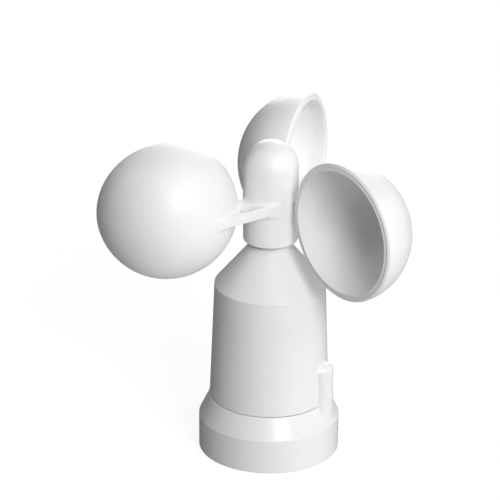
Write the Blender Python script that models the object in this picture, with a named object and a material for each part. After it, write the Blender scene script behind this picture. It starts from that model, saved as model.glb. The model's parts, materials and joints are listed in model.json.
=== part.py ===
"""A three-cup anemometer: cup rotor on a ball-bearing shaft, tapered housing, base ring.

The rotor axis is +Z and the origin is the centre of the flat underside.
Lengths are in millimetres and become metres where a mesh is made.
"""

from math import cos, pi, radians, sin, sqrt

import bmesh
import bpy
from mathutils import Matrix, Vector

MM = 0.001
GAP = 0.3  # clearance between pieces that touch

# Driving dimensions.
BASE_RADIUS = 32.55
BASE_WALL_TOP = 16.2  # where the upright wall turns into the sloped band
BASE_TOP = 26.2
BASE_TOP_RADIUS = 27.85
FLOOR = 3.0
SHELF = 18.7  # the housing's spigot stands just above this step
SHELF_RADIUS = 23.0
SOCKET_RADIUS = 26.0

HOUSING_FOOT = 26.5
HOUSING_FOOT_RADIUS = 27.65
SHOULDER = 82.5
SHOULDER_RADIUS = 25.72
NECK = 103.6
NECK_RADIUS = 8.27
NECK_BORE = 4.6
SHELL = 2.2
SPIGOT_RADIUS = 25.6
SPIGOT_FOOT = 20.2
GASKET = (24.3, 25.1, SHELF + GAP, SPIGOT_FOOT - GAP)

TOWER_AZIMUTH = -23.9
TOWER_OFFSET = 26.15  # from the rotor axis to the screw tower's axis
TOWER_SCREW_OFFSET = 27.4  # its screw sits further out, clear of the gasket
TOWER_RADIUS = 5.7
TOWER_FOOT, TOWER_TOP = 19.1, 46.6

HUB_RADIUS = 12.67
HUB_FOOT = 104.6
HUB_TOP = 153.1
HUB_CORE = 117.0  # above this the hub is solid round its insert

ROTOR_AZIMUTH = 190.6
CUP_ARM_LENGTH = 48.5
CUP_PLANE = 123.5
CUP_RADIUS = 32.5
CUP_DEPTH = 30.06  # from the cup's widest circle to its pole
CUP_LIP = 1.4  # from the mouth plane to the widest circle
CUP_WALL = 2.6
LIP_PROUD = 0.3

ARM_BOTTOM = 121.1
ARM_TOP = 126.1
ARM_EDGE = ((1.5, 12.4), (29.5, 25.4))  # leading edge, from the hub to the cup
ARM_RIB = 2.0
ARM_WEB = (122.9, 124.3)

BORE_RADIUS = 8.5
TUBE_FOOT, TUBE_TOP = 70.0, 100.3
SHAFT_RADIUS = 2.0
SHAFT_FOOT, SHAFT_TOP = 56.6, 122.0
RACE = 5.0  # bearing width
RACE_RADII = (2.3, 3.3, 5.2, 6.3)
BALLS, BALL_RADIUS, BALL_CIRCLE = 7, 0.8, 4.25
BEARINGS = {"upper": 94.6, "lower": 70.3}

BOARD = 52.0
BOARD_THICKNESS = 1.6
BOARD_RADIUS = 19.5
POST_AZIMUTHS, POST_OFFSET = (42.0, 162.0, 282.0), 16.0  # the board's three posts
POST_RADIUS, POST_PILOT = 2.6, 1.5
INSERT_AZIMUTHS, INSERT_OFFSET = (12.0, 132.0, 252.0), 17.0  # the mounting holes
INSERT_BOSS, INSERT_BOSS_TOP = 4.0, 9.0
INSERT_HOLE, INSERT_HOLE_TOP = 2.6, 7.6
COLUMN_AZIMUTHS, COLUMN_OFFSET = (102.0, 222.0), 22.6  # the other two housing screws
COLUMN_RADIUS, PAD_RADIUS = 3.1, 4.4
SCREW_HEAD_HOLE, SCREW_HOLE, SCREW_SEAT = 3.2, 1.7, 8.0
SCREW_TIP, SCREW_HOLE_END = 31.0, 33.0
CABLE_EXIT = (0.0, 9.0)

ROUND, FINE, SMALL = 40, 32, 16  # segments round large, middling and small circles

MATERIALS = {
    "white_housing": ((0.80, 0.80, 0.81), 0.28, 0.0),
    "white_rotor": ((0.83, 0.83, 0.84), 0.24, 0.0),
    "steel": ((0.62, 0.62, 0.64), 0.28, 1.0),
    "brass": ((0.72, 0.55, 0.26), 0.32, 1.0),
    "aluminium": ((0.70, 0.71, 0.73), 0.38, 1.0),
    "black_rubber": ((0.03, 0.03, 0.03), 0.70, 0.0),
    "black_plastic": ((0.04, 0.04, 0.04), 0.45, 0.0),
    "nylon": ((0.78, 0.74, 0.62), 0.50, 0.0),
    "magnet": ((0.48, 0.48, 0.50), 0.35, 1.0),
    "circuit_green": ((0.03, 0.22, 0.08), 0.40, 0.0),
}


def clear_scene():
    for obj in list(bpy.data.objects):
        bpy.data.objects.remove(obj, do_unlink=True)


def material(name):
    found = bpy.data.materials.get(name)
    if found:
        return found
    colour, roughness, metallic = MATERIALS[name]
    made = bpy.data.materials.new(name)
    made.use_nodes = True
    shader = made.node_tree.nodes["Principled BSDF"]
    shader.inputs["Base Color"].default_value = (*colour, 1.0)
    shader.inputs["Roughness"].default_value = roughness
    shader.inputs["Metallic"].default_value = metallic
    made.diffuse_color = (*colour, 1.0)
    return made


def polar(radius, degrees):
    return radius * cos(radians(degrees)), radius * sin(radians(degrees))


def arc(centre, radius, start, end, steps, squash=1.0):
    """Points on an arc, in degrees; squash scales its second coordinate."""
    points = []
    for i in range(steps + 1):
        x, y = polar(radius, start + (end - start) * i / steps)
        points.append((centre[0] + x, centre[1] + y * squash))
    return points


def finish(mesh_maker, name, slot, parent=None):
    """Turns a bmesh in millimetres into a named object with its own material."""
    bmesh.ops.remove_doubles(mesh_maker, verts=mesh_maker.verts, dist=1e-4)
    bmesh.ops.recalc_face_normals(mesh_maker, faces=mesh_maker.faces)
    bmesh.ops.scale(mesh_maker, vec=(MM, MM, MM), verts=mesh_maker.verts)
    mesh = bpy.data.meshes.new(name)
    mesh_maker.to_mesh(mesh)
    mesh_maker.free()
    return place(mesh, name, slot, parent)


def place(mesh, name, slot, parent=None, azimuth=0.0):
    mesh.shade_smooth()
    mesh.set_sharp_from_angle(angle=radians(32))
    mesh.materials.clear()
    mesh.materials.append(material(slot))
    obj = bpy.data.objects.new(name, mesh)
    obj.rotation_euler.z = radians(azimuth)
    obj.parent = parent
    bpy.context.scene.collection.objects.link(obj)
    return obj


def turned(outline, segments, at=(0.0, 0.0)):
    """A bmesh of a closed outline of (radius, height) points turned round an upright axis."""
    made = bmesh.new()
    points = [made.verts.new((radius, 0.0, height)) for radius, height in outline]
    pairs = zip(points, points[1:] + points[:1])
    edges = [made.edges.new(pair) for pair in pairs if pair[0].co.x or pair[1].co.x]
    bmesh.ops.spin(
        made,
        geom=points + edges,
        cent=(0, 0, 0),
        axis=(0, 0, 1),
        angle=2 * pi,
        steps=segments,
        use_merge=True,
    )
    bmesh.ops.translate(made, vec=(*at, 0), verts=made.verts)
    return made


def prism(outline, bottom, top):
    """A bmesh of a flat outline extruded upwards."""
    made = bmesh.new()
    face = made.faces.new([made.verts.new((x, y, bottom)) for x, y in outline])
    raised = bmesh.ops.extrude_face_region(made, geom=[face])["geom"]
    corners = [item for item in raised if isinstance(item, bmesh.types.BMVert)]
    bmesh.ops.translate(made, vec=(0, 0, top - bottom), verts=corners)
    return made


def rod(radius, bottom, top, at=(0.0, 0.0), segments=SMALL):
    return turned([(0, bottom), (radius, bottom), (radius, top), (0, top)], segments, at)


def sleeve(inner, outer, bottom, top, segments=SMALL):
    corners = [(inner, bottom), (outer, bottom), (outer, top), (inner, top)]
    return turned(corners, segments)


def block(size, centre):
    made = bmesh.new()
    bmesh.ops.create_cube(made, size=1.0)
    bmesh.ops.scale(made, vec=size, verts=made.verts)
    bmesh.ops.translate(made, vec=centre, verts=made.verts)
    return made


def combine(obj, operation, tools):
    """Joins tools to a piece, or cuts them from it, with one Boolean. The tools stay apart."""
    together = bmesh.new()
    for tool in tools:
        mesh = bpy.data.meshes.new("tool")
        tool.to_mesh(mesh)
        tool.free()
        together.from_mesh(mesh)
        bpy.data.meshes.remove(mesh)
    name = f"{obj.name}_{operation.lower()}_{len(obj.modifiers)}"
    helper = finish(together, name, "nylon", obj.parent)
    helper.hide_render = True
    helper.display_type = "WIRE"
    helper.hide_set(True)
    modifier = obj.modifiers.new(name, "BOOLEAN")
    modifier.operation = operation
    modifier.solver = "EXACT"
    modifier.object = helper


def cross(reach, half):
    """The outline of a plus sign."""
    quarter = [(reach, -half), (reach, half), (half, half)]
    turns = [Matrix.Rotation(radians(90 * index), 2) for index in range(4)]
    return [tuple(turn @ Vector(point)) for turn in turns for point in quarter]


def screw(name, at, head, seat, tip):
    """A pan-head screw with a cross recess; it points up where its tip is above its seat."""
    way = 1 if tip > seat else -1
    head_radius, head_height, shank = head
    top = seat - way * head_height
    outline = [(0, top), (head_radius * 0.8, top), (head_radius, top + way * 0.5)]
    outline += [(head_radius, seat), (shank, seat), (shank, tip - way * shank), (0, tip)]
    piece = finish(turned(outline, SMALL, at), name, "steel")
    ends = sorted((top - way, top + way * head_height * 0.5))
    recess = prism(cross(head_radius * 0.55, 0.4), *ends)
    bmesh.ops.translate(recess, vec=(*at, 0), verts=recess.verts)
    combine(piece, "DIFFERENCE", [recess])


def make_base():
    wall = [(0, 0), (BASE_RADIUS - 0.6, 0), (BASE_RADIUS, 0.6)]
    wall += arc((BASE_RADIUS - 1.6, BASE_WALL_TOP - 0.6), 1.6, 0, 25, 3)
    wall += [(BASE_TOP_RADIUS + 0.1, BASE_TOP - 0.3), (BASE_TOP_RADIUS - 0.2, BASE_TOP)]
    wall += [(SOCKET_RADIUS, BASE_TOP), (SOCKET_RADIUS, SHELF), (SHELF_RADIUS, SHELF)]
    wall += [(SHELF_RADIUS, FLOOR), (0, FLOOR)]
    base = finish(turned(wall, ROUND), "base_ring", "white_housing")
    tower_at = polar(TOWER_OFFSET, TOWER_AZIMUTH)
    notch = rod(TOWER_RADIUS + GAP, TOWER_FOOT - GAP, BASE_TOP + 1, tower_at, FINE)
    combine(base, "DIFFERENCE", [notch])
    root = FLOOR / 2
    posts = [
        rod(POST_RADIUS, root, BOARD - GAP, polar(POST_OFFSET, turn)) for turn in POST_AZIMUTHS
    ]
    bosses = [
        rod(INSERT_BOSS, root, INSERT_BOSS_TOP, polar(INSERT_OFFSET, turn)) for turn in INSERT_AZIMUTHS
    ]
    pads = [rod(PAD_RADIUS, root, SHELF, polar(COLUMN_OFFSET, turn)) for turn in COLUMN_AZIMUTHS]
    combine(base, "UNION", posts + bosses + pads)
    cuts = [
        rod(POST_PILOT, BOARD - 8, BOARD + 1, polar(POST_OFFSET, turn)) for turn in POST_AZIMUTHS
    ]
    for turn in INSERT_AZIMUTHS:
        cuts.append(rod(INSERT_HOLE, -1, INSERT_HOLE_TOP, polar(INSERT_OFFSET, turn)))
    screw_hole = [(0, -1), (SCREW_HEAD_HOLE, -1), (SCREW_HEAD_HOLE, SCREW_SEAT)]
    screw_hole += [(SCREW_HOLE, SCREW_SEAT), (SCREW_HOLE, BASE_TOP + 1), (0, BASE_TOP + 1)]
    cuts += [turned(screw_hole, SMALL, at) for at in screw_places()]
    cable_hole = [(0, -1), (5.6, -1), (5.6, 1.5), (4.0, 1.5), (4.0, 5), (0, 5)]
    cuts.append(turned(cable_hole, SMALL, CABLE_EXIT))
    combine(base, "DIFFERENCE", cuts)


def screw_places():
    places = [polar(TOWER_SCREW_OFFSET, TOWER_AZIMUTH)]
    return places + [polar(COLUMN_OFFSET, turn) for turn in COLUMN_AZIMUTHS]


def make_housing():
    slope = Vector((NECK_RADIUS - SHOULDER_RADIUS, NECK - SHOULDER)).normalized()
    inward = Vector((-slope.y, slope.x)) * SHELL
    under = Vector((SHOULDER_RADIUS, SHOULDER)) + inward
    collar = 10.7  # outer radius of the inner tube that holds the bearings
    under_collar = under + slope * ((collar - under.x) / slope.x)
    edge = slope * 0.7
    outline = [(SPIGOT_RADIUS - 2.2, SPIGOT_FOOT), (SPIGOT_RADIUS, SPIGOT_FOOT)]
    outline += [(SPIGOT_RADIUS, HOUSING_FOOT), (HOUSING_FOOT_RADIUS - 0.3, HOUSING_FOOT)]
    outline += [(HOUSING_FOOT_RADIUS, HOUSING_FOOT + 0.3), (SHOULDER_RADIUS + 0.02, SHOULDER - 0.7)]
    outline += [(SHOULDER_RADIUS - 0.12, SHOULDER), (SHOULDER_RADIUS + edge.x, SHOULDER + edge.y)]
    outline += [(NECK_RADIUS + 0.2, NECK - 0.3), (NECK_RADIUS - 0.3, NECK), (NECK_BORE, NECK)]
    outline += [(NECK_BORE, TUBE_TOP + GAP), (BORE_RADIUS, TUBE_TOP + GAP)]
    outline += [(BORE_RADIUS, 69.8), (9.3, 69.8), (9.3, 68.4), (BORE_RADIUS, 68.4)]
    outline += [(BORE_RADIUS, 66.0), (collar, 66.0), tuple(under_collar)]
    outline += [(SHOULDER_RADIUS - SHELL, SHOULDER - 1.9), (25.3, 31.0), (23.4, 28.0)]
    housing = finish(turned(outline, ROUND), "housing", "white_housing")
    crown = arc((0, TOWER_TOP - TOWER_RADIUS), TOWER_RADIUS, 0, 90, 6)[:-1]
    tower = [(0, TOWER_FOOT), (TOWER_RADIUS, TOWER_FOOT)] + crown
    columns = [turned(tower + [(0, TOWER_TOP)], FINE, polar(TOWER_OFFSET, TOWER_AZIMUTH))]
    for turn in COLUMN_AZIMUTHS:
        columns.append(rod(COLUMN_RADIUS, SPIGOT_FOOT, TOWER_TOP, polar(COLUMN_OFFSET, turn)))
    combine(housing, "UNION", columns)
    combine(housing, "DIFFERENCE", [rod(SPIGOT_RADIUS + GAP, 10, SPIGOT_FOOT, segments=ROUND)])
    holes = [rod(SCREW_HOLE, 10, SCREW_HOLE_END, at) for at in screw_places()]
    combine(housing, "DIFFERENCE", holes)


def make_fasteners():
    for index, at in enumerate(screw_places(), 1):
        screw(f"housing_screw_{index}", at, (2.8, 2.0, 1.4), SCREW_SEAT - GAP, SCREW_TIP)
    for index, turn in enumerate(POST_AZIMUTHS, 1):
        seat = BOARD + BOARD_THICKNESS + GAP
        screw(f"board_screw_{index}", polar(POST_OFFSET, turn), (2.2, 1.6, 1.2), seat, BOARD - 6)
    for index, turn in enumerate(INSERT_AZIMUTHS, 1):
        ring = sleeve(1.5, 2.3, GAP, 6.3)
        bmesh.ops.translate(ring, vec=(*polar(INSERT_OFFSET, turn), 0), verts=ring.verts)
        finish(ring, f"mount_insert_{index}", "brass")


def make_seals():
    finish(sleeve(*GASKET, ROUND), "seam_gasket", "black_rubber")
    outline = [(2.6, 0.2), (5.2, 0.2), (5.2, 1.2), (3.7, 1.2), (3.7, FLOOR + GAP)]
    outline += [(5.2, FLOOR + GAP), (5.2, 4.5), (2.6, 4.5)]
    finish(turned(outline, SMALL, CABLE_EXIT), "cable_grommet", "black_rubber")


def make_electronics():
    disc = rod(BOARD_RADIUS, BOARD, BOARD + BOARD_THICKNESS, segments=FINE)
    board = finish(disc, "circuit_board", "circuit_green")
    holes = [rod(1.6, BOARD - 1, BOARD + 3, polar(POST_OFFSET, turn)) for turn in POST_AZIMUTHS]
    combine(board, "DIFFERENCE", holes)
    top = BOARD + BOARD_THICKNESS + GAP
    finish(block((4.1, 1.6, 4.4), (0, -6.4, top + 2.2)), "hall_sensor", "black_plastic")
    finish(block((5.0, 4.0, 1.6), (-9.0, -9.0, top + 0.8)), "signal_chip", "black_plastic")
    finish(rod(3.2, top, top + 7.0, (-13.5, -2.0)), "smoothing_capacitor", "aluminium")
    under = block((14.6, 7.6, 8.0), (0, 12.0, BOARD - GAP - 4.0))
    terminals = finish(under, "terminal_block", "circuit_green")
    entries = [block((3.4, 4.0, 3.6), (x, 15.0, BOARD - 6.2)) for x in (-4.6, 0.0, 4.6)]
    combine(terminals, "DIFFERENCE", entries)


def make_bearing_tube():
    outline = [(6.6, TUBE_FOOT), (8.2, TUBE_FOOT), (8.2, TUBE_TOP), (6.6, TUBE_TOP)]
    outline += [(6.6, 94.3), (5.3, 94.3), (5.3, 75.6), (6.6, 75.6)]
    finish(turned(outline, FINE), "bearing_tube", "aluminium")
    finish(open_ring(5.7, 9.0, 68.6, 69.5, 34), "tube_circlip", "steel")


def open_ring(inner, outer, bottom, top, gap_degrees):
    """A snap ring: a flat ring with a gap in it."""
    outline = arc((0, 0), outer, gap_degrees / 2, 360 - gap_degrees / 2, 20)
    outline += arc((0, 0), inner, 360 - gap_degrees / 2, gap_degrees / 2, 20)
    return prism(outline, bottom, top)


def make_bearing(name, foot, rotor, cage_axis):
    bore, inner, outer, rim = RACE_RADII
    finish(sleeve(outer, rim, foot, foot + RACE, FINE), f"{name}_outer_race", "steel")
    finish(sleeve(bore, inner, foot, foot + RACE), f"{name}_inner_race", "steel", rotor)
    middle = foot + RACE / 2
    ring = sleeve(BALL_CIRCLE - 0.35, BALL_CIRCLE + 0.35, middle - 1.5, middle - 0.2, 2 * BALLS)
    cage = finish(ring, f"{name}_ball_cage", "steel", cage_axis)
    balls = []
    for index in range(BALLS):
        ball = bmesh.new()
        at = Vector((*polar(BALL_CIRCLE, 360 * index / BALLS), middle))
        place_ball = Matrix.Translation(at)
        bmesh.ops.create_icosphere(ball, subdivisions=1, radius=BALL_RADIUS, matrix=place_ball)
        balls.append(ball)
    combine(cage, "UNION", balls)


def make_shaft(rotor):
    outline = [(0, SHAFT_FOOT), (SHAFT_RADIUS - 0.3, SHAFT_FOOT), (SHAFT_RADIUS, SHAFT_FOOT + 0.3)]
    outline += [(SHAFT_RADIUS, 68.8), (1.5, 68.8), (1.5, 70.0), (SHAFT_RADIUS, 70.0)]
    outline += [(SHAFT_RADIUS, SHAFT_TOP - 0.3), (SHAFT_RADIUS - 0.3, SHAFT_TOP), (0, SHAFT_TOP)]
    finish(turned(outline, SMALL), "shaft", "steel", rotor)
    finish(open_ring(1.7, 3.6, 69.0, 69.8, 70), "shaft_circlip", "steel", rotor)
    finish(sleeve(2.3, 3.1, 99.9, 106.6), "shaft_spacer", "brass", rotor)
    finish(sleeve(2.3, 4.0, 107.0, 121.0), "hub_insert", "brass", rotor)
    lip = [(3.4, 104.0), (5.0, 104.0), (7.4, 104.9), (7.6, 105.4), (5.0, 105.6), (3.4, 105.6)]
    finish(turned(lip, SMALL), "dust_seal", "black_rubber", rotor)


def make_magnet_carrier(rotor):
    outline = [(2.3, 60.6), (9.0, 60.6), (9.0, 65.0), (4.2, 65.0), (4.2, 67.6), (2.3, 67.6)]
    carrier = finish(turned(outline, SMALL), "magnet_carrier", "nylon", rotor)
    places = [(6.0, 0.0), (-6.0, 0.0)]
    combine(carrier, "DIFFERENCE", [rod(2.3, 59, 64.1, at) for at in places])
    for index, at in enumerate(places, 1):
        finish(rod(2.0, 60.8, 63.8, at), f"sensor_magnet_{index}", "magnet", rotor)
    hexagon = arc((0, 0), 7.0 / sqrt(3), 0, 300, 5)
    nut = finish(prism(hexagon, 57.4, 60.3), "carrier_nut", "steel", rotor)
    combine(nut, "DIFFERENCE", [rod(2.3, 50, 65)])


def make_hub(rotor):
    dome = HUB_TOP - HUB_RADIUS
    outline = [(HUB_RADIUS - 0.5, HUB_FOOT), (HUB_RADIUS, HUB_FOOT + 0.5)]
    outline += arc((0, dome), HUB_RADIUS, 0, 90, 8)[:-1] + [(0, HUB_TOP)]
    outline += [(0, 123.0), (4.3, 123.0), (4.3, 106.8), (6.6, 106.8), (6.6, HUB_CORE)]
    outline += [(HUB_RADIUS - 2.4, HUB_CORE), (HUB_RADIUS - 2.4, HUB_FOOT)]
    hub = finish(turned(outline, FINE), "rotor_hub", "white_rotor", rotor)
    sockets = [tenon(GAP) for _ in cup_azimuths()]
    for socket, turn in zip(sockets, cup_azimuths()):
        bmesh.ops.rotate(socket, matrix=Matrix.Rotation(radians(turn), 3, "Z"), verts=socket.verts)
    combine(hub, "DIFFERENCE", sockets)


def tenon(grow):
    """The tongue of a cup's arm that sits in the hub's socket."""
    middle = (ARM_BOTTOM + ARM_TOP) / 2
    return block((3.4 + grow, 6.0 + 2 * grow, 2.6 + 2 * grow), (11.5 - grow / 2, 5.6, middle))


def cup_azimuths():
    return [ROTOR_AZIMUTH + 120 * index for index in range(3)]


def cup_shell():
    """The cup, turned about its own axis, with its mouth at 0 and its pole at +Z."""
    outline = [(CUP_RADIUS - CUP_WALL - 0.4, -LIP_PROUD), (CUP_RADIUS - 1.5, -LIP_PROUD)]
    outline += [(CUP_RADIUS - 0.5, 0.3)]
    outline += arc((0, CUP_LIP), CUP_RADIUS, 0, 90, 9, CUP_DEPTH / CUP_RADIUS)[:-1]
    outline += [(0, CUP_LIP + CUP_DEPTH), (0, CUP_LIP + CUP_DEPTH - CUP_WALL)]
    bowl = CUP_RADIUS - CUP_WALL - 0.5
    outline += arc((0, CUP_LIP), bowl, 90, 0, 8, (CUP_DEPTH - CUP_WALL) / bowl)[1:]
    made = turned(outline, FINE)
    tip_over = Matrix.Rotation(radians(-90), 3, "X")
    bmesh.ops.rotate(made, matrix=tip_over, verts=made.verts)
    bmesh.ops.translate(made, vec=(CUP_ARM_LENGTH, 0, CUP_PLANE), verts=made.verts)
    return made


def cup_side(offset, start, end, steps):
    """Points along the cup's outline in the rotor plane, offset outwards from its surface."""
    radius = CUP_RADIUS + offset
    squash = (CUP_DEPTH + offset) / radius
    return arc((CUP_ARM_LENGTH, CUP_LIP), radius, start, end, steps, squash)


def arm_outline():
    near = arc((0, 0), HUB_RADIUS + GAP, 8, 80, 9)
    far = cup_side(-1.3, 128, 176, 8)
    return near + [ARM_EDGE[1]] + far


def pocket_outline():
    """The hollow between the arm's leading rib, the hub and the cup."""
    lead = Vector(ARM_EDGE[1]) - Vector(ARM_EDGE[0])
    normal = Vector((lead.y, -lead.x)).normalized() * ARM_RIB
    start = Vector(ARM_EDGE[0]) + normal + lead.normalized() * 12.5
    end = Vector(ARM_EDGE[0]) + normal + lead.normalized() * 22.0
    root = arc((0, 0), HUB_RADIUS + 1.9, 30, 52, 3)
    return root + [tuple(start), tuple(end)] + cup_side(0.9, 145, 168, 4)


def make_cup_arms(rotor):
    pattern = finish(cup_shell(), "cup_pattern", "white_rotor")
    combine(pattern, "UNION", [prism(arm_outline(), ARM_BOTTOM, ARM_TOP)])
    combine(pattern, "UNION", [tenon(0.0)])
    pockets = [prism(pocket_outline(), ARM_WEB[1], ARM_TOP + 1)]
    pockets.append(prism(pocket_outline(), ARM_BOTTOM - 1, ARM_WEB[0]))
    combine(pattern, "DIFFERENCE", pockets)
    bpy.context.view_layer.update()
    evaluated = pattern.evaluated_get(bpy.context.evaluated_depsgraph_get())
    mesh = bpy.data.meshes.new_from_object(evaluated)
    bpy.data.objects.remove(pattern, do_unlink=True)
    for index, turn in enumerate(cup_azimuths(), 1):
        place(mesh, f"cup_arm_{index}", "white_rotor", rotor, turn)


def empty(name):
    made = bpy.data.objects.new(name, None)
    bpy.context.scene.collection.objects.link(made)
    return made


def main():
    clear_scene()
    rotor = empty("rotor_axis")
    make_base()
    make_housing()
    make_fasteners()
    make_seals()
    make_electronics()
    make_bearing_tube()
    for name, foot in BEARINGS.items():
        make_bearing(name, foot, rotor, empty(f"{name}_cage_axis"))
    make_shaft(rotor)
    make_magnet_carrier(rotor)
    make_hub(rotor)
    make_cup_arms(rotor)


main()
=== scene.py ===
"""The looks of the cup anemometer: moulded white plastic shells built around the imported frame.

Lengths are in millimetres until a mesh is made, as in the part's own drawing, and +Z is the rotor's axis.
"""

import json
from math import cos, radians, sin, tan

import bmesh
import bpy
import numpy as np
from mathutils import Matrix, Vector


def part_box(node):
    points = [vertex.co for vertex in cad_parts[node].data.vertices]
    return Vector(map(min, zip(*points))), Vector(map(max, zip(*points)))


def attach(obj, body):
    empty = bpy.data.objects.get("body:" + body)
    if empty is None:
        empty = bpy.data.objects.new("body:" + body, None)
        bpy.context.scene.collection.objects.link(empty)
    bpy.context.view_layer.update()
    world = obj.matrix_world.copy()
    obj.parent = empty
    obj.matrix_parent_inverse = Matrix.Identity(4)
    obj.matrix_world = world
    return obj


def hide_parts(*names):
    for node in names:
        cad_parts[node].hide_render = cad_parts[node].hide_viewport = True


MM = 0.001
MESH_GAP, CUT_GAP = 1e-7, 3e-6  # in metres: closer points of a mesh, and of a cut mesh, are one point
CUTTER_PAST = 2.0  # how far a cutter runs past the surface that it cuts
BASE_STEPS, HUB_STEPS = 288, 192  # columns round a turned shell

# Base ring. Azimuths are in degrees from +X, and offsets are from the rotor's axis.
FOOT_CHAMFER, WALL_DRAFT = 0.6, 0.1
GROOVE_IN, GROOVE_OUT, GROOVE_SLOPE, GROOVE_DEPTH = 3.2, 1.2, 0.4, 0.35  # under the foot, near its edge
WALL_TOP = 16.2
BAND_TOP, BAND_TOP_RADIUS = 26.2, 27.85
BASE_FLOOR = 3.0
SHELF, SHELF_RADIUS, SOCKET_RADIUS = 18.7, 23.0, 26.0
POST_AZIMUTHS, POST_OFFSET, POST_RADIUS, POST_TOP = (42.0, 162.0, 282.0), 16.0, 2.6, 51.7
PILOT_RADIUS, PILOT_DEPTH = 1.5, 8.0
INSERT_AZIMUTHS, INSERT_OFFSET = (12.0, 132.0, 252.0), 17.0
INSERT_BOSS_RADIUS, INSERT_BOSS_TOP = 4.0, 9.0
COLUMN_AZIMUTHS, COLUMN_OFFSET, COLUMN_RADIUS = (102.0, 222.0), 22.6, 3.1
COLUMN_SEAT_RADIUS = 4.4
CABLE_EXIT = (0.0, 9.0)
SCREW_HOLE = ((0, -1), (4.2, -1), (3.2, 0.4), (3.2, 6.8), (3.0, 7.0), (1.7, 7.0), (1.7, 30), (0, 30))
INSERT_HOLE = ((0, -1), (3.3, -1), (2.6, 0.3), (2.6, 7.6), (0, 7.6))
CABLE_HOLE = ((0, -1), (6.9, -1), (5.6, 0.3), (5.6, 1.4), (5.4, 1.6), (4.0, 1.6), (4.0, 5.0), (0, 5.0))

# Housing.
FOOT, FOOT_RADIUS = 26.5, 27.65
SHOULDER, SHOULDER_RADIUS = 82.5, 25.72
NECK, NECK_RADIUS, NECK_BORE = 103.6, 8.27, 4.6
BORE_RADIUS, BORE_TOP = 8.5, 100.6
CLIP_GROOVE_RADIUS, CLIP_GROOVE_TOP, CLIP_GROOVE_FOOT = 9.3, 69.8, 68.4
SLEEVE_RADIUS, SLEEVE_FOOT, SLEEVE_TOP = 10.7, 66.0, 98.0
WALL_THICKNESS, SHOULDER_DROP = 2.2, 1.9
LOWER_WALL_RADIUS, LOWER_WALL_FOOT = 25.3, 31.0
SPIGOT_RADIUS, SPIGOT_BORE, SPIGOT_FOOT, SPIGOT_BORE_TOP = 25.6, 23.4, 20.2, 28.0
HOUSING_BORE, HOUSING_BORE_FOOT, HOUSING_BORE_TOP = 1.7, 10, 33
TOWER_AZIMUTH, TOWER_OFFSET, TOWER_RADIUS = -23.9, 26.15, 5.7
TOWER_FOOT, TOWER_SHOULDER, TOWER_TOP = 19.1, 43.0, 46.9
TOWER_POST_TOP, TOWER_POST_INSET, TOWER_STEPS = 40.0, 0.02, 160
NOTCH_GAP, NOTCH_FOOT_GAP = 0.03, 0.05  # between the tower and the ring
TOWER_SCREW_OFFSET = 27.4
TOWER_BLEND = 1.0
TOWER_REACH = 60.0  # the housing swells round the tower below this height
DOME_ROWS = np.arange(41.6, 47.8, 0.35)  # heights of the mesh rows that shape the tower's top

# Rotor.
HUB_RADIUS, HUB_FOOT, HUB_TOP = 12.67, 104.6, 153.1
HUB_WALL, HUB_CEILING = 2.4, 108.0
ROTOR_AZIMUTH = 190.6
CUP_ARM_LENGTH, CUP_PLANE = 48.5, 123.5
CUP_RADIUS, CUP_DEPTH, CUP_LIP, CUP_WALL = 32.5, 30.06, 1.4, 2.6
CUP_MOUTH, BOWL_DRAFT = 28.9, 0.5
RIM_FACE, RIM_EDGE, BEAD_FACE, BEAD_WIDTH = -0.1, 31.5, -0.3, 1.1
CUP_LINE_HEIGHT, CUP_LINE_SPREAD = 0.11, 0.45  # of the mould line, in millimetres and degrees
ARM_LINE_HEIGHT, ARM_LINE_SPREAD = 0.08, 0.35
ARM_BOTTOM, ARM_TOP, ARM_ROUNDING = 121.1, 126.1, 0.45
ARM_EDGE = ((1.5, 12.4), (29.5, 25.4))
ARM_SWEEP = ((-0.8, 12.4), (1.0, 12.72), (3.0, 13.33), (5.0, 14.1), (7.0, 14.97))  # leaves the hub
ARM_ROOT = 9.9  # radius where the arm ends inside the hub
ARM_RIB = 2.0
ARM_WEB = (122.5, 124.9)
POCKET_ROUNDING, POCKET_BLEND, POCKET_PAST = 0.4, 1.1, 3.0
CROSS_RIB = (13.2, 15.2)  # where it starts and ends along the leading edge
POCKET_ENDS = (12.0, 21.5)
HUB_BLEND, CUP_BLEND = 3.0, 2.0
SKIRT = 0.06  # how far the fillets' edges lie below the hub's and the cup's surface
BOWL_CLEARANCE = 1.2  # how far the fillet at the cup stays from the bowl's surface
ARM_GRID = (-10.0, -6.0, 116.0), (36.0, 30.0, 131.5), 0.4  # low corner, high corner and cell

# Studio. The camera and the lights are placed in metres.
CAMERA_DISTANCE = 2.276
CAMERA_ELEVATION = radians(24.02)
CAMERA_ROLL = radians(0.45)
CAMERA_TARGET = (-0.0094, 0.0, 0.0986)
CAMERA_LENS = 356.3

FLOOR_RINGS, FLOOR_RADIUS = (150.0, 1500.0), 3200.0
SWEEP_RADIUS, WALL_HEIGHT = 1000.0, 4000.0
FLOOR_COLUMNS = 96
FLOOR_GLOW = 0.85
FLOOR_DROP = 0.2  # below the foot
LIGHT_DISTANCE = 2.6
NEUTRAL, WARM = (1.0, 1.0, 1.0), (1.0, 0.93, 0.89)
LIGHTS = {  # azimuth, elevation, width in metres, power in watts, colour
    "key": (22, 30, 1.0, 43.0, NEUTRAL),
    "side": (66, 48, 1.4, 16.0, NEUTRAL),
    "overhead": (0, 60, 1.4, 9.0, NEUTRAL),
    "left": (-100, 40, 1.4, 10.5, WARM),
    "back": (165, 38, 1.4, 9.5, NEUTRAL),
    "right_rear": (125, 12, 1.2, 5.6, WARM),
    "rear": (178, 14, 1.6, 38.0, NEUTRAL),
}
SURROUND = (  # where dim light comes from, and how strong it is
    ((0.6, -0.55, -0.6), 0.58),
    ((0, 0, -1), 0.41),
    ((1, 0, 0), 0.19),
)


# Outlines and meshes.

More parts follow.
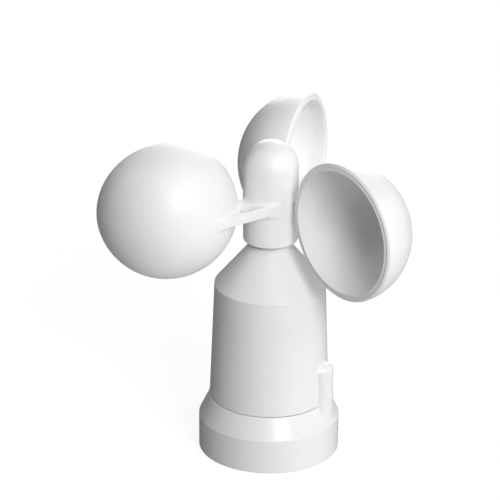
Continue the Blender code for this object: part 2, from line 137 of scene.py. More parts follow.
def polar(radius, degrees):
    """A place in the plane, from its distance and its azimuth."""
    return radius * cos(radians(degrees)), radius * sin(radians(degrees))


def arc(centre, radius, start, end, steps, squash=1.0):
    """Points on an arc, in degrees; squash scales its second coordinate."""
    points = []
    for i in range(steps + 1):
        x, y = polar(radius, start + (end - start) * i / steps)
        points.append((centre[0] + x, centre[1] + y * squash))
    return points


def softened(corners, longest=2.5, steps=6, hold=0.18):
    """A closed outline of (radius, height, edge radius) corners with each edge rounded off.

    Extra points hold each flat up to its rounding, and split the flats into short runs.
    """
    points = []
    count = len(corners)
    for index, (x, y, edge) in enumerate(corners):
        here = Vector((x, y))
        before = Vector(corners[index - 1][:2]) - here
        after = Vector(corners[(index + 1) % count][:2]) - here
        if edge <= 0:
            points.append(here)
            continue
        reach = min(before.length, after.length) * 0.45
        hold_here = min(hold, reach * 0.1)
        before.normalize()
        after.normalize()
        half = before.angle(after) / 2
        setback = min(edge / tan(half), reach)
        radius = setback * tan(half)
        centre = here + (before + after).normalized() * (radius / sin(half))
        start = here + before * setback - centre
        end = here + after * setback - centre
        points.append(here + before * (setback + hold_here))
        for step in range(steps + 1):
            turn = start.lerp(end, step / steps).normalized() * radius
            points.append(centre + turn)
        points.append(here + after * (setback + hold_here))
    return split(points, longest)


def split(points, longest):
    """The closed outline with no run longer than a given length."""
    result = []
    for point, following in zip(points, points[1:] + points[:1]):
        runs = max(1, int((following - point).length / longest) + 1)
        on_axis = point.x < 1e-6 and following.x < 1e-6
        result += [point.lerp(following, i / runs) for i in range(1 if on_axis else runs)]
    return np.array([tuple(point) for point in result])


def lathe(outline, angles, relief=None):
    """Points and faces of a closed outline turned about Z; relief shifts each point's radius."""
    radius = np.repeat(outline[:, :1], len(angles), axis=1)
    if relief is not None:
        radius = radius + relief
    turns = np.radians(angles)[None, :]
    height = np.repeat(outline[:, 1:], len(angles), axis=1)
    points = np.stack([radius * np.cos(turns), radius * np.sin(turns), height], axis=2)
    rows, columns = radius.shape
    index = np.arange(rows * columns).reshape(rows, columns)
    below, beside = np.roll(index, -1, axis=0), np.roll(index, -1, axis=1)
    corner = np.roll(below, -1, axis=1)
    faces = np.stack([index, beside, corner, below], axis=2).reshape(-1, 4)
    return points.reshape(-1, 3), faces


def evenly(count):
    """Azimuths all round, in degrees."""
    return np.arange(count) * 360.0 / count


def blended_low(a, b, width):
    """The lower of two distances, with the crease between them filled to a soft fillet."""
    share = np.maximum(width - np.abs(a - b), 0) / width
    return np.minimum(a, b) - share * share * width / 4


def blended_high(a, b, width):
    """The higher of two distances, with the edge between them softened."""
    return -blended_low(-a, -b, width)


def write_clean(made, mesh, gap):
    """Fills a mesh from a bmesh with near points merged, no empty faces or loose edges, and faces out."""
    bmesh.ops.remove_doubles(made, verts=made.verts, dist=gap)
    bmesh.ops.dissolve_degenerate(made, edges=made.edges, dist=gap / 10)
    loose = [edge for edge in made.edges if not edge.link_faces]
    bmesh.ops.delete(made, geom=loose, context="EDGES")
    bmesh.ops.recalc_face_normals(made, faces=made.faces)
    made.to_mesh(mesh)
    made.free()


def to_mesh(name, shells):
    """A mesh in metres from shells of (points, faces) in millimetres, cleaned and facing out."""
    made = bmesh.new()
    for points, faces in shells:
        vertices = [made.verts.new(point) for point in (points * MM).tolist()]
        for face in faces.tolist():
            made.faces.new([vertices[i] for i in face])
    mesh = bpy.data.meshes.new(name)
    write_clean(made, mesh, MESH_GAP)
    return mesh


def piece(name, mesh, look, body, *nodes, crease=40):
    """Puts a piece in place of CAD nodes, with its look and the body it moves with."""
    mesh.shade_smooth()
    mesh.set_sharp_from_angle(angle=radians(crease))
    mesh.materials.clear()
    mesh.materials.append(looks[look])
    made = bpy.data.objects.new(name, mesh)
    bpy.context.scene.collection.objects.link(made)
    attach(made, body)
    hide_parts(*nodes)


def combined(target, tools, operation="DIFFERENCE"):
    """Cuts shells from a mesh, or joins them to it, with one Boolean and returns the result."""
    holder = bpy.data.objects.new("target", target)
    cutter = bpy.data.objects.new("cutter", to_mesh("cutter", tools))
    for helper in (holder, cutter):
        bpy.context.scene.collection.objects.link(helper)
    modifier = holder.modifiers.new("combined", "BOOLEAN")
    modifier.solver = "EXACT"
    modifier.operation = operation
    modifier.object = cutter
    bpy.context.view_layer.update()
    graph = bpy.context.evaluated_depsgraph_get()
    result = bpy.data.meshes.new_from_object(holder.evaluated_get(graph))
    for helper in (holder, cutter):
        bpy.data.objects.remove(helper, do_unlink=True)
    made = bmesh.new()
    made.from_mesh(result)
    write_clean(made, result, CUT_GAP)
    return result


def moved(shell, x, y):
    """A shell shifted across the rotor's axis."""
    points, faces = shell
    return points + np.array([x, y, 0.0]), faces


def turned_at(outline, x, y, steps=64):
    """An upright shell turned from a closed outline of (radius, height) round a place."""
    return moved(lathe(np.array(outline), evenly(steps)), x, y)


def rod(radius, bottom, top, offset, azimuth, steps=64):
    """An upright cylinder, with its place given from the rotor's axis."""
    return turned_at([(0, bottom), (radius, bottom), (radius, top), (0, top)], *polar(offset, azimuth), steps)


# Looks.

def add(tree, kind, **settings):
    """A node with its inputs and properties set by name."""
    node = tree.nodes.new(kind)
    for key, value in settings.items():
        if hasattr(node, key):
            setattr(node, key, value)
        else:
            node.inputs[key.replace("_", " ")].default_value = value
    return node


def noise(tree, place, size_mm, detail=3.0, rough=0.55):
    """Noise whose features are about a given size, read from the object's own coordinates."""
    node = add(tree, "ShaderNodeTexNoise", Scale=1.0 / (size_mm * MM), Detail=detail, Roughness=rough)
    tree.links.new(place, node.inputs["Vector"])
    return node.outputs["Fac"]


def ranged(tree, value, low, high, start=0.3, end=0.7):
    """A value mapped from start to end onto low to high, and held at the ends."""
    node = add(tree, "ShaderNodeMapRange", From_Min=start, From_Max=end, To_Min=low, To_Max=high)
    tree.links.new(value, node.inputs["Value"])
    return node.outputs["Result"]


def mixed(tree, share, first, second):
    """A colour mixed from two, each a tuple or a socket."""
    node = add(tree, "ShaderNodeMix", data_type="RGBA")
    for index, value in ((0, share), (6, first), (7, second)):
        if isinstance(value, bpy.types.NodeSocket):
            tree.links.new(value, node.inputs[index])
        elif isinstance(value, tuple):
            node.inputs[index].default_value = (*value, 1.0)
        else:
            node.inputs[index].default_value = value
    return node.outputs[2]


def bumped(tree, height, depth_mm, under=None):
    """A normal tilted by a height, on top of another if one is given."""
    node = add(tree, "ShaderNodeBump", Strength=1.0, Distance=depth_mm * MM)
    tree.links.new(height, node.inputs["Height"])
    if under is not None:
        tree.links.new(under, node.inputs["Normal"])
    return node.outputs["Normal"]


def new_look(name):
    """A material, its node tree, its shader and the coordinates of the piece."""
    made = bpy.data.materials.new(name)
    made.use_nodes = True
    tree = made.node_tree
    place = tree.nodes.new("ShaderNodeTexCoord").outputs["Object"]
    return made, tree, tree.nodes["Principled BSDF"], place


def white_plastic(name, colour, shade, rough):
    """Injection-moulded white plastic: flow-toned, faintly orange-peeled, with fine grain and dust."""
    made, tree, shader, place = new_look(name)
    flow = noise(tree, place, 38.0, 2.0)
    base = mixed(tree, ranged(tree, flow, 0.0, 1.0), colour, shade)
    dust = noise(tree, place, 0.9, 2.0, 0.7)
    base = mixed(tree, ranged(tree, dust, 0.0, 0.04, 0.68, 0.80), base, (0.62, 0.61, 0.58))
    tree.links.new(base, shader.inputs["Base Color"])
    sheen = noise(tree, place, 9.0, 3.0)
    tree.links.new(ranged(tree, sheen, rough - 0.03, rough + 0.04), shader.inputs["Roughness"])
    peel = bumped(tree, noise(tree, place, 2.2, 2.0, 0.4), 0.006)
    grain = bumped(tree, noise(tree, place, 0.25, 3.0), 0.0016, peel)
    tree.links.new(grain, shader.inputs["Normal"])
    shader.inputs["IOR"].default_value = 1.49
    return made


def metal(name, colour, tone, rough, lay):
    """Machined metal; lay stretches its marks along an axis."""
    made, tree, shader, place = new_look(name)
    stretch = add(tree, "ShaderNodeMapping", Scale=lay)
    tree.links.new(place, stretch.inputs["Vector"])
    marks = noise(tree, stretch.outputs["Vector"], 0.5, 4.0, 0.65)
    stain = noise(tree, place, 6.0, 3.0)
    tree.links.new(mixed(tree, ranged(tree, stain, 0.0, 1.0), colour, tone), shader.inputs["Base Color"])
    tree.links.new(ranged(tree, marks, rough - 0.08, rough + 0.1), shader.inputs["Roughness"])
    tree.links.new(bumped(tree, marks, 0.004), shader.inputs["Normal"])
    shader.inputs["Metallic"].default_value = 1.0
    return made


def dull(name, colour, tone, rough, size_mm, depth_mm):
    """Rubber, nylon and dark plastic: grained, with a slow change of tone."""
    made, tree, shader, place = new_look(name)
    bloom = noise(tree, place, 5.0, 4.0)
    tree.links.new(mixed(tree, ranged(tree, bloom, 0.0, 1.0), colour, tone), shader.inputs["Base Color"])
    grain = noise(tree, place, size_mm, 4.0, 0.6)
    tree.links.new(ranged(tree, grain, rough - 0.06, rough + 0.08), shader.inputs["Roughness"])
    tree.links.new(bumped(tree, grain, depth_mm), shader.inputs["Normal"])
    return made


def circuit(name):
    """Solder mask over copper tracks, with tinned pads."""
    made, tree, shader, place = new_look(name)
    tracks = add(tree, "ShaderNodeTexBrick", Scale=420.0, Mortar_Size=0.1, Mortar_Smooth=0.2)
    tree.links.new(place, tracks.inputs["Vector"])
    pads = add(tree, "ShaderNodeTexVoronoi", Scale=330.0, Randomness=0.35)
    tree.links.new(place, pads.inputs["Vector"])
    mask = mixed(tree, tracks.outputs["Fac"], (0.012, 0.10, 0.035), (0.03, 0.20, 0.075))
    tinned = ranged(tree, pads.outputs["Distance"], 1.0, 0.0, 0.12, 0.16)
    tree.links.new(mixed(tree, tinned, mask, (0.72, 0.73, 0.70)), shader.inputs["Base Color"])
    tree.links.new(ranged(tree, pads.outputs["Distance"], 0.22, 0.42, 0.1, 0.3), shader.inputs["Roughness"])
    tree.links.new(bumped(tree, tracks.outputs["Fac"], 0.03), shader.inputs["Normal"])
    return made


def make_looks():
    """Every material of the object, named as its slot in the record."""
    even, turned, drawn = (1.0, 1.0, 1.0), (1.0, 1.0, 0.12), (0.15, 1.0, 1.0)
    return {
        "white_housing": white_plastic("white_housing", (0.80, 0.80, 0.805), (0.775, 0.777, 0.785), 0.30),
        "white_rotor": white_plastic("white_rotor", (0.82, 0.82, 0.825), (0.80, 0.802, 0.81), 0.44),
        "steel": metal("steel", (0.60, 0.60, 0.62), (0.66, 0.66, 0.67), 0.26, turned),
        "brass": metal("brass", (0.74, 0.55, 0.25), (0.66, 0.49, 0.22), 0.30, turned),
        "aluminium": metal("aluminium", (0.72, 0.73, 0.75), (0.66, 0.67, 0.69), 0.36, drawn),
        "magnet": metal("magnet", (0.55, 0.55, 0.56), (0.48, 0.48, 0.50), 0.22, even),
        "black_rubber": dull("black_rubber", (0.022, 0.022, 0.023), (0.04, 0.04, 0.038), 0.66, 0.4, 0.02),
        "black_plastic": dull("black_plastic", (0.03, 0.03, 0.032), (0.045, 0.045, 0.045), 0.42, 0.3, 0.012),
        "nylon": dull("nylon", (0.78, 0.75, 0.64), (0.72, 0.69, 0.57), 0.48, 0.6, 0.01),
        "circuit_green": circuit("circuit_green"),
    }


# Pieces.

def housing_screw_places():
    """Where the three housing screws stand, the first of them under the tower."""
    in_columns = [polar(COLUMN_OFFSET, turn) for turn in COLUMN_AZIMUTHS]
    return [polar(TOWER_SCREW_OFFSET, TOWER_AZIMUTH), *in_columns]


def base_outline():
    """The ring's section, from the middle of its underside round to the middle of its floor."""
    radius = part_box("base_ring")[1].x / MM
    groove_in, groove_out = radius - GROOVE_IN, radius - GROOVE_OUT
    return softened([
        (0, 0, 0), (groove_in, 0, 0.3), (groove_in + GROOVE_SLOPE, GROOVE_DEPTH, 0.2),
        (groove_out - GROOVE_SLOPE, GROOVE_DEPTH, 0.2), (groove_out, 0, 0.2),
        (radius - WALL_DRAFT, 0, FOOT_CHAMFER), (radius, WALL_TOP, 1.5),
        (BAND_TOP_RADIUS, BAND_TOP, 0.35), (SOCKET_RADIUS, BAND_TOP, 0.3), (SOCKET_RADIUS, SHELF, 0.2),
        (SHELF_RADIUS, SHELF, 0.3), (SHELF_RADIUS, BASE_FLOOR, 0.8), (0, BASE_FLOOR, 0),
    ])


def make_base():
    """The ring with its notch for the tower, the props that stand on its floor, and the holes from below."""
    mesh = to_mesh("base_ring_shell", [lathe(base_outline(), evenly(BASE_STEPS))])
    notch = TOWER_RADIUS + NOTCH_GAP, TOWER_FOOT - NOTCH_FOOT_GAP, BAND_TOP + CUTTER_PAST
    mesh = combined(mesh, [rod(*notch, TOWER_OFFSET, TOWER_AZIMUTH, TOWER_STEPS)])
    root = BASE_FLOOR / 2
    props = [rod(POST_RADIUS, root, POST_TOP, POST_OFFSET, turn) for turn in POST_AZIMUTHS]
    props += [rod(INSERT_BOSS_RADIUS, root, INSERT_BOSS_TOP, INSERT_OFFSET, turn) for turn in INSERT_AZIMUTHS]
    props += [rod(COLUMN_SEAT_RADIUS, root, SHELF, COLUMN_OFFSET, turn) for turn in COLUMN_AZIMUTHS]
    mesh = combined(mesh, props, "UNION")
    pilot = PILOT_RADIUS, POST_TOP - PILOT_DEPTH, POST_TOP + CUTTER_PAST
    cutters = [rod(*pilot, POST_OFFSET, turn, 32) for turn in POST_AZIMUTHS]
    cutters += [turned_at(SCREW_HOLE, *place) for place in housing_screw_places()]
    cutters += [turned_at(INSERT_HOLE, *polar(INSERT_OFFSET, turn)) for turn in INSERT_AZIMUTHS]
    cutters.append(turned_at(CABLE_HOLE, *CABLE_EXIT, 80))
    mesh = combined(mesh, cutters)
    piece("base_ring_shell", mesh, "white_housing", "root", "base_ring")


def tower_distance(x, y, z):
    """How far points are from the screw tower, a post with a low domed top."""
    at = polar(TOWER_OFFSET, TOWER_AZIMUTH)
    above = np.maximum(z - TOWER_SHOULDER, 0) * TOWER_RADIUS / (TOWER_TOP - TOWER_SHOULDER)
    return np.sqrt((x - at[0]) ** 2 + (y - at[1]) ** 2 + above ** 2) - TOWER_RADIUS


def housing_radius(radius, height, angles):
    """The radius of the housing where the tower swells out of it, by halving the search."""
    turns = np.radians(angles)[None, :]
    wall = np.repeat(radius[:, None], len(angles), axis=1)
    low, high = wall - 0.5, wall + 6.0
    for _ in range(26):
        middle = (low + high) / 2
        tower = tower_distance(middle * np.cos(turns), middle * np.sin(turns), height[:, None])
        inside = blended_low(middle - wall, tower, TOWER_BLEND) < 0
        low, high = np.where(inside, middle, low), np.where(inside, high, middle)
    return (low + high) / 2


def housing_angles():
    """Columns round the housing, closer together at the tower."""
    turns = np.arange(-180.0, -22.0, 2.0), np.arange(-22.0, 24.0, 0.5), np.arange(24.0, 180.0, 2.0)
    return np.concatenate(turns) + TOWER_AZIMUTH


def wall_radius(height):
    """The radius of the housing's outer wall, which tapers from its foot to its shoulder."""
    return np.interp(height, (FOOT, SHOULDER), (FOOT_RADIUS, SHOULDER_RADIUS))


def housing_outline():
    """The housing's section: wall, cone and neck, then the bore, its sleeve and the inner wall down again."""
    groove, bore = CLIP_GROOVE_RADIUS, BORE_RADIUS
    corners = [
        (FOOT_RADIUS, FOOT, 0.35), *[(wall_radius(z), z, 0) for z in DOME_ROWS],
        (SHOULDER_RADIUS, SHOULDER, 1.0), (NECK_RADIUS, NECK, 0.4), (NECK_BORE, NECK, 0.25),
        (NECK_BORE, BORE_TOP, 0), (bore, BORE_TOP, 0), (bore, CLIP_GROOVE_TOP, 0),
        (groove, CLIP_GROOVE_TOP, 0), (groove, CLIP_GROOVE_FOOT, 0), (bore, CLIP_GROOVE_FOOT, 0),
        (bore, SLEEVE_FOOT, 0), (SLEEVE_RADIUS, SLEEVE_FOOT, 0), (SLEEVE_RADIUS, SLEEVE_TOP, 0),
        (SHOULDER_RADIUS - WALL_THICKNESS, SHOULDER - SHOULDER_DROP, 0),
        (LOWER_WALL_RADIUS, LOWER_WALL_FOOT, 0), (SPIGOT_BORE, SPIGOT_BORE_TOP, 0),
        (SPIGOT_BORE, SPIGOT_FOOT, 0.2), (SPIGOT_RADIUS, SPIGOT_FOOT, 0.2), (SPIGOT_RADIUS, FOOT, 0.1),
    ]
    return softened(corners, longest=1.3)


def tower_relief(outline, angles):
    """How far each point of the housing's outer wall swells out to the tower."""
    radius, height = outline.T
    outer = (radius > wall_radius(height) - 0.4) & (height >= FOOT - 1e-6) & (height < TOWER_REACH)
    swollen = housing_radius(radius, height, angles) - radius[:, None]
    return np.where(outer[:, None], np.maximum(swollen, 0), 0)


def tower_post():
    """The lower part of the tower, which stands proud of the wall and reaches down into the ring."""
    radius = TOWER_RADIUS - TOWER_POST_INSET
    foot, top = TOWER_FOOT, TOWER_POST_TOP
    corners = [(0, foot, 0), (radius, foot, 0.6), (radius, top, 0), (0, top, 0)]
    return turned_at(softened(corners), *polar(TOWER_OFFSET, TOWER_AZIMUTH), TOWER_STEPS)


def make_housing():
    """The tapered body with its tower, the two columns inside it and the holes for its three screws."""
    outline, angles = housing_outline(), housing_angles()
    mesh = to_mesh("housing_shell", [lathe(outline, angles, tower_relief(outline, angles))])
    columns = [rod(COLUMN_RADIUS, SPIGOT_FOOT, TOWER_TOP, COLUMN_OFFSET, turn) for turn in COLUMN_AZIMUTHS]
    mesh = combined(mesh, [tower_post()] + columns, "UNION")
    radius, foot, top = HOUSING_BORE, HOUSING_BORE_FOOT, HOUSING_BORE_TOP
    hole = [(0, foot), (radius, foot), (radius, top), (0, top)]
    mesh = combined(mesh, [turned_at(hole, *place, 32) for place in housing_screw_places()])
    piece("housing_shell", mesh, "white_housing", "root", "housing")


def make_hub():
    """The hub: a shallow hollow under it, a straight side and a half-round top."""
    dome = HUB_TOP - HUB_RADIUS
    corners = [
        (HUB_RADIUS - HUB_WALL, HUB_CEILING, 0.3), (HUB_RADIUS - HUB_WALL, HUB_FOOT, 0.5),
        (HUB_RADIUS, HUB_FOOT, 0.8), (HUB_RADIUS, dome, 0),
    ]
    corners += [(x, y, 0) for x, y in arc((0, dome), HUB_RADIUS, 2, 88, 44)]
    corners += [(0, HUB_TOP, 0), (0, HUB_CEILING, 0)]
    mesh = to_mesh("rotor_hub_shell", [lathe(softened(corners), evenly(HUB_STEPS))])
    piece("rotor_hub_shell", mesh, "white_rotor", "rotor", "rotor_hub")


def cup_angles():
    """Columns round a cup, with close ones at the two mould lines."""
    fine = [-1.6, -0.8, -0.4, 0.0, 0.4, 0.8, 1.6]
    coarse = np.arange(3.0, 178.0, 2.5)
    return np.concatenate([fine, coarse, np.array(fine) + 180, coarse + 180])


def cup_outline():
    """The cup's section: a bead and a flat rim at the mouth, the ball outside and the bowl inside."""
    bowl = CUP_RADIUS - CUP_WALL - BOWL_DRAFT
    bead_edge = CUP_MOUTH + BEAD_WIDTH
    corners = [
        (CUP_MOUTH, 0.9, 0.3), (CUP_MOUTH + 0.1, BEAD_FACE, 0.4), (bead_edge, BEAD_FACE, 0.35),
        (bead_edge + 0.25, RIM_FACE, 0.3), (RIM_EDGE, RIM_FACE, 0.7), (CUP_RADIUS - 0.02, CUP_LIP / 2, 0.7),
    ]
    ball = arc((0, CUP_LIP), CUP_RADIUS, 0, 90, 60, CUP_DEPTH / CUP_RADIUS)
    inner = arc((0, CUP_LIP), bowl, 90, 10, 50, (CUP_DEPTH - CUP_WALL) / bowl)
    corners += [(x, y, 0) for x, y in ball + inner]
    return softened(corners, longest=2.0)


def mould_line(outline, angles):
    """A fine raised line on the outside of the cup, where the two halves of its mould met."""
    from_line = np.minimum(np.abs((angles + 90) % 180 - 90), 90)
    ridge = CUP_LINE_HEIGHT * np.exp(-(from_line / CUP_LINE_SPREAD) ** 2)
    clear_of_pole = (outline[:, 0] > CUP_RADIUS * 0.08) & (outline[:, 1] >= CUP_LIP)
    reach = (outline[:, 0] / CUP_RADIUS) ** 2 + ((outline[:, 1] - CUP_LIP) / CUP_DEPTH) ** 2
    outside = clear_of_pole & (reach > 0.97)
    return np.where(outside[:, None], ridge[None, :], 0.0)


def cup_shell():
    """A cup turned about its own axis, with its mouth at 0, laid over so that its pole is at +Y."""
    outline, angles = cup_outline(), cup_angles()
    points, faces = lathe(outline, angles, mould_line(outline, angles))
    laid = np.stack([points[:, 0], points[:, 2], -points[:, 1]], axis=1)
    return laid + np.array([CUP_ARM_LENGTH, 0, CUP_PLANE]), faces


def cup_side(offset, start, end, steps):
    """Points along the cup's outline in the rotor plane, offset outwards from its surface."""
    radius = CUP_RADIUS + offset
    return arc((CUP_ARM_LENGTH, CUP_LIP), radius, start, end, steps, (CUP_DEPTH + offset) / radius)


def arm_outline():
    """The arm from above: round inside the hub, along its leading edge and back inside the cup's wall."""
    return [*arc((0, 0), HUB_RADIUS - 3, 8, 100, 9), *ARM_SWEEP, ARM_EDGE[1], *cup_side(-1.3, 128, 176, 8)]


def pocket_outlines():
    """The hollows between the arm's leading rib, the hub and the cup, with a rib across."""
    lead = (Vector(ARM_EDGE[1]) - Vector(ARM_EDGE[0])).normalized()
    inner = Vector(ARM_EDGE[0]) + Vector((lead.y, -lead.x)) * ARM_RIB
    start, rib_start, rib_end, end = [
        tuple(inner + lead * along) for along in (POCKET_ENDS[0], *CROSS_RIB, POCKET_ENDS[1])
    ]
    near = [*arc((0, 0), HUB_RADIUS + 2.4, 34, 52, 4), start, rib_start]
    far = [rib_end, end, *cup_side(1.4, 145, 158, 4)]
    return near, far


def outline_distance(outline, x, y):
    """Signed distance from points to a closed flat outline, negative inside."""
    nearest = np.full(x.shape, 1e9)
    inside = np.zeros(x.shape, bool)
    for (ax, ay), (bx, by) in zip(outline, outline[1:] + outline[:1]):
        ex, ey = bx - ax, by - ay
        along = np.clip(((x - ax) * ex + (y - ay) * ey) / max(ex * ex + ey * ey, 1e-12), 0, 1)
        nearest = np.minimum(nearest, (x - ax - along * ex) ** 2 + (y - ay - along * ey) ** 2)
        crosses = (ay > y) != (by > y)
        inside ^= crosses & (x < ax + (y - ay) * ex / (ey if ey else 1e-12))
    return np.where(inside, -1, 1) * np.sqrt(nearest)


def slab_distance(flat, z, bottom, top, edge):
    """Distance to a flat shape given thickness, with rounded edges."""
    across = flat + edge
    upright = np.abs(z - (bottom + top) / 2) - (top - bottom) / 2 + edge
    outside = np.sqrt(np.maximum(across, 0) ** 2 + np.maximum(upright, 0) ** 2)
    return np.minimum(np.maximum(across, upright), 0) + outside - edge


def arm_distance(x, y, z):
    """Distance to the arm, with its pockets, mould line and the fillets that run onto hub and cup."""
    plain = slab_distance(outline_distance(arm_outline(), x, y), z, ARM_BOTTOM, ARM_TOP, ARM_ROUNDING)
    arm = plain
    for outline in pocket_outlines():
        flat = outline_distance(outline, x, y)
        for bottom, top in ((ARM_WEB[1], ARM_TOP + POCKET_PAST), (ARM_BOTTOM - POCKET_PAST, ARM_WEB[0])):
            pocket = slab_distance(flat, z, bottom, top, POCKET_ROUNDING)
            arm = blended_high(arm, -pocket, POCKET_BLEND)
    middle = (ARM_BOTTOM + ARM_TOP) / 2
    arm = arm - ARM_LINE_HEIGHT * np.exp(-((z - middle) / ARM_LINE_SPREAD) ** 2)
    from_axis = np.sqrt(x * x + y * y)
    squash = CUP_RADIUS / CUP_DEPTH
    from_cup = np.sqrt((x - CUP_ARM_LENGTH) ** 2 + (z - CUP_PLANE) ** 2 + ((y - CUP_LIP) * squash) ** 2)
    cup = from_cup - CUP_RADIUS + SKIRT
    hollow = BOWL_CLEARANCE - (from_cup - CUP_RADIUS + CUP_WALL)
    joined = blended_low(arm, from_axis - HUB_RADIUS + SKIRT, HUB_BLEND)
    joined = blended_low(joined, np.maximum(cup, hollow), CUP_BLEND)
    return np.maximum(np.maximum(joined, plain - HUB_BLEND), ARM_ROOT - from_axis)


def surface_of(distance, low, high, cell):
    """A closed mesh of the surface where a distance is zero, one point per cell that it crosses."""
    axes = [np.arange(a, b + cell, cell) for a, b in zip(low, high)]
    values = distance(*np.meshgrid(*axes, indexing="ij"))
    solid = values < 0
    shape = np.array(solid.shape) - 1
    filled = np.zeros(shape, int)
    for corner in np.ndindex(2, 2, 2):
        filled += solid[tuple(slice(c, c + n) for c, n in zip(corner, shape))]
    crossed = (filled > 0) & (filled < 8)
    index = np.full(shape, -1)
    index[crossed] = np.arange(crossed.sum())
    points = np.argwhere(crossed) * cell + np.array(low) + cell / 2
    for _ in range(6):
        points = points - settle(distance, points, cell)
    faces = [crossing_faces(solid, index, axis) for axis in range(3)]
    return points, np.concatenate(faces)


def settle(distance, points, cell):
    """How far each point moves to reach the surface, at most half a cell."""
    here = distance(*points.T)
    slope = np.empty_like(points)
    probe = 0.02
    for axis in range(3):
        step = np.zeros(3)
        step[axis] = probe
        slope[:, axis] = (distance(*(points + step).T) - distance(*(points - step).T)) / (2 * probe)
    size = np.maximum((slope ** 2).sum(axis=1), 0.2)
    return np.clip(here / size, -cell / 2, cell / 2)[:, None] * slope


def crossing_faces(solid, index, axis):
    """A face round every grid edge along one axis whose ends lie on both sides of the surface."""
    first = [slice(None)] * 3
    second = [slice(None)] * 3
    first[axis], second[axis] = slice(0, -1), slice(1, None)
    starts, ends = solid[tuple(first)], solid[tuple(second)]
    places = np.argwhere(starts != ends)
    others = [a for a in range(3) if a != axis]
    inner = np.all([(places[:, a] > 0) & (places[:, a] < solid.shape[a] - 1) for a in others], axis=0)
    places = places[inner]
    ring = []
    for da, db in ((0, 0), (1, 0), (1, 1), (0, 1)):
        cell = places.copy()
        cell[:, others[0]] -= da
        cell[:, others[1]] -= db
        ring.append(index[tuple(cell.T)])
    return np.stack(ring, axis=1)


def make_cup_arms():
    """One cup with its arm, made once and placed three times round the hub."""
    mesh = to_mesh("cup_arm_shell", [cup_shell(), surface_of(arm_distance, *ARM_GRID)])
    for number in range(1, 4):
        spun = mesh.copy()
        spun.transform(Matrix.Rotation(radians(ROTOR_AZIMUTH + 120 * (number - 1)), 4, "Z"))
        piece(f"cup_arm_shell_{number}", spun, "white_rotor", "rotor", f"cup_arm_{number}", crease=60)


def dress_cad_nodes():
    """The inner pieces keep their CAD shapes and get their finishes."""
    slots = {row["node"]: row["material_slot"] for row in frame["record"]["subparts"]}
    for name, node in frame["nodes"].items():
        if not node.material_slots:
            node.data.materials.append(None)
        for material_slot in node.material_slots:
            material_slot.material = looks[slots[name]]


# Studio.

def look_at(made, target, roll=0.0):
    """Turns a camera or a lamp to face a place."""
    aim = (Vector(target) - made.location).to_track_quat("-Z", "Y")
    made.rotation_euler = (aim.to_matrix() @ Matrix.Rotation(roll, 3, "Z")).to_euler()


def around(azimuth, elevation, distance):
    """A place round the object: azimuth 0 is in front, 90 to its right."""
    flat = distance * cos(radians(elevation))
    turn = radians(azimuth)
    x, y, z = CAMERA_TARGET
    return Vector((x + flat * sin(turn), y - flat * cos(turn), z + distance * sin(radians(elevation))))


def make_camera():
    """A long lens in front of the object, a little above it."""
    data = bpy.data.cameras.new("camera")
    data.lens = CAMERA_LENS
    data.clip_start, data.clip_end = 0.1, 30.0
    camera = bpy.data.objects.new("camera", data)
    bpy.context.scene.collection.objects.link(camera)
    forward = Vector((0, cos(CAMERA_ELEVATION), -sin(CAMERA_ELEVATION)))
    camera.location = Vector(CAMERA_TARGET) - forward * CAMERA_DISTANCE
    look_at(camera, CAMERA_TARGET, CAMERA_ROLL)
    bpy.context.scene.camera = camera


def softbox(name, azimuth, elevation, width, power, colour):
    """A square light that faces the object."""
    data = bpy.data.lights.new(name, "AREA")
    data.size = width
    data.energy = power
    data.color = colour
    lamp = bpy.data.objects.new(name, data)
    lamp.location = around(azimuth, elevation, LIGHT_DISTANCE)
    lamp.visible_camera = False
    bpy.context.scene.collection.objects.link(lamp)
    look_at(lamp, CAMERA_TARGET)


def make_surround():
    """Dim light from all around, strongest along a few directions, as from walls and a table."""
    world = bpy.data.worlds.new("surround")
    world.use_nodes = True
    tree = world.node_tree
    toward = tree.nodes.new("ShaderNodeTexCoord").outputs["Generated"]
    total = add(tree, "ShaderNodeValue").outputs["Value"]
    total.default_value = 0.0
    for axis, share in SURROUND:
        along = add(tree, "ShaderNodeVectorMath", operation="DOT_PRODUCT")
        along.inputs[1].default_value = Vector(axis).normalized()
        tree.links.new(toward, along.inputs[0])
        plus = add(tree, "ShaderNodeMath", operation="ADD")
        tree.links.new(total, plus.inputs[0])
        tree.links.new(ranged(tree, along.outputs["Value"], 0.0, share, 0.0, 1.0), plus.inputs[1])
        total = plus.outputs["Value"]
    tree.links.new(total, tree.nodes["Background"].inputs["Strength"])
    tree.nodes["Background"].inputs["Color"].default_value = (1.0, 1.0, 1.0, 1.0)
    bpy.context.scene.world = world


def make_studio():
    """The lights and their surround, with plain tones in the picture."""
    for name, settings in LIGHTS.items():
        softbox(name, *settings)
    make_surround()
    bpy.context.scene.view_settings.view_transform = "Standard"


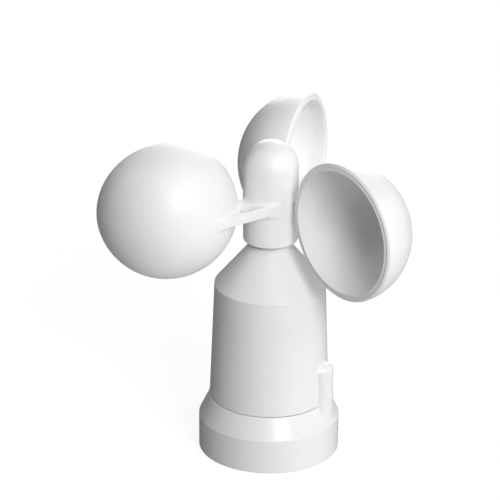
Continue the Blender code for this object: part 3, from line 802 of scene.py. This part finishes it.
def floor_mesh():
    """Rings from the middle of the floor out to where it curves up into a round wall."""
    outline = [(radius, 0.0) for radius in (*FLOOR_RINGS, FLOOR_RADIUS)]
    outline += arc((FLOOR_RADIUS, SWEEP_RADIUS), SWEEP_RADIUS, -90, 0, 12)[1:]
    outline.append((FLOOR_RADIUS + SWEEP_RADIUS, WALL_HEIGHT))
    made = bmesh.new()
    rows = []
    for radius, height in outline:
        ring = [(*polar(radius, turn), height) for turn in evenly(FLOOR_COLUMNS)]
        rows.append([made.verts.new(Vector(point) * MM) for point in ring])
    made.faces.new(rows[0])
    for inner, outer in zip(rows, rows[1:]):
        for i in range(FLOOR_COLUMNS):
            made.faces.new((inner[i - 1], outer[i - 1], outer[i], inner[i]))
    bmesh.ops.recalc_face_normals(made, faces=made.faces)
    mesh = bpy.data.meshes.new("floor")
    made.to_mesh(mesh)
    made.free()
    return mesh


def floor_look():
    """Matt, almost even grey that glows faintly, so that the floor reads as white."""
    look, tree, shader, place = new_look("pale_floor")
    share = ranged(tree, noise(tree, place, 120.0), 0.0, 1.0)
    tone = mixed(tree, share, (0.20, 0.20, 0.20), (0.19, 0.19, 0.19))
    tree.links.new(tone, shader.inputs["Base Color"])
    shader.inputs["Roughness"].default_value = 0.9
    shader.inputs["Specular IOR Level"].default_value = 0.0
    shader.inputs["Emission Color"].default_value = (1.0, 1.0, 1.0, 1.0)
    shader.inputs["Emission Strength"].default_value = FLOOR_GLOW
    return look


def make_floor():
    """A plain pale floor, lit evenly like a white photographic sweep."""
    mesh = floor_mesh()
    mesh.materials.append(floor_look())
    mesh.shade_smooth()
    floor = bpy.data.objects.new("floor", mesh)
    floor.visible_diffuse = False
    floor.visible_glossy = False
    floor.location.z = -FLOOR_DROP * MM
    bpy.context.scene.collection.objects.link(floor)


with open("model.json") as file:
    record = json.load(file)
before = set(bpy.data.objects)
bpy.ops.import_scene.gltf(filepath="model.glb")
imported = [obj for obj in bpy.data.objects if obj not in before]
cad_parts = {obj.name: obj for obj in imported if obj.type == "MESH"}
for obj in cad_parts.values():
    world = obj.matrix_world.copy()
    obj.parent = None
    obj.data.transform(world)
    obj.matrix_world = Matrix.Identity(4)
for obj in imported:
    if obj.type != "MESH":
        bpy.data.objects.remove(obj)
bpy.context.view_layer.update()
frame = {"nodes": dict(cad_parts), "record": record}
looks = make_looks()
make_camera()
make_studio()
make_floor()
dress_cad_nodes()
make_base()
make_housing()
make_hub()
make_cup_arms()
